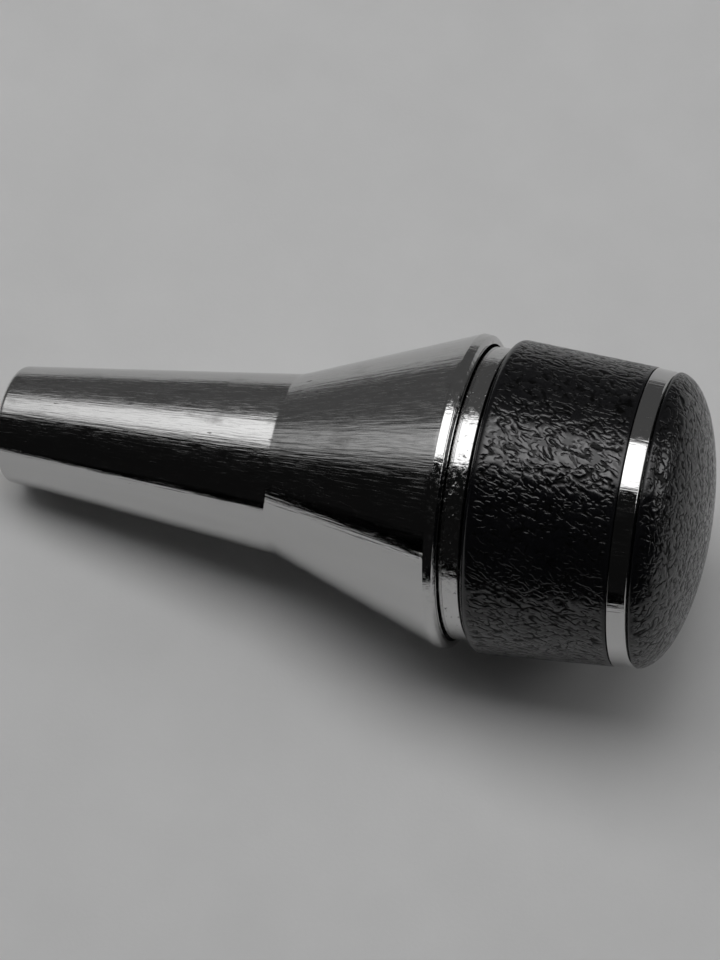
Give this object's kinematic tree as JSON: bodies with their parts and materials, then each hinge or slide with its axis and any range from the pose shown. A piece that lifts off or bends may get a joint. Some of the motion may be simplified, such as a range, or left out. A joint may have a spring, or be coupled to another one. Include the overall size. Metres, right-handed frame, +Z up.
{
  "type": "gear shift handle",
  "caption": "Push-down gear shift handle: a flared chrome sleeve for a hollow lever, with a spring-loaded black-covered round head, bright trim bands and a domed palm cap.",
  "frame": {"origin": "centre of the shank's mouth, on the handle's axis, in the plane of the flat end face", "axes": "+X along the handle's axis from the lever socket to the domed palm end; +Z up with the handle lying on its side, the set screw facing down and to the +Y side"},
  "size_m": [0.1167, 0.0508, 0.0508],
  "materials": {
    "chrome_plate": "bright plate over a die casting, with fine lengthwise polishing scratches",
    "worn_chrome": "bright plate, pitted and scuffed by sliding",
    "grained_vinyl": "black moulded vinyl with a pebbled leather grain, semi-gloss",
    "black_plastic": "moulded, satin",
    "steel": "zinc plated, satin",
    "brass": "turned",
    "nylon": "natural, satin",
    "rubber": "matt"
  },
  "bodies": {
    "housing": {"sleeve": "chrome_plate", "lever_bush": "brass", "set_screw": "steel", "guide_bush": "nylon", "spring_seat": "steel", "bumper_ring": "rubber", "return_spring": "steel"},
    "head": {"core": "black_plastic", "lower_collar": "worn_chrome", "grip_cover": "grained_vinyl", "trim_ring": "chrome_plate", "cap_disc": "steel", "dome_cap": "grained_vinyl", "push_rod": "steel", "e_clip": "steel", "clip_washer": "steel", "lock_washer": "steel", "rod_nut": "steel", "collar_screw_1": "steel", "collar_screw_2": "steel", "collar_screw_3": "steel", "cap_screw_1": "steel", "cap_screw_2": "steel", "cap_screw_3": "steel"}
  },
  "joints": [
    {"name": "head_press", "type": "slide", "parent": "housing", "child": "head", "axis": [-1, 0, 0], "range_m": [0, 0.0027], "stiffness_N_per_m": 1500, "springref_m": -0.006, "deforming": ["return_spring"]}
  ]
}
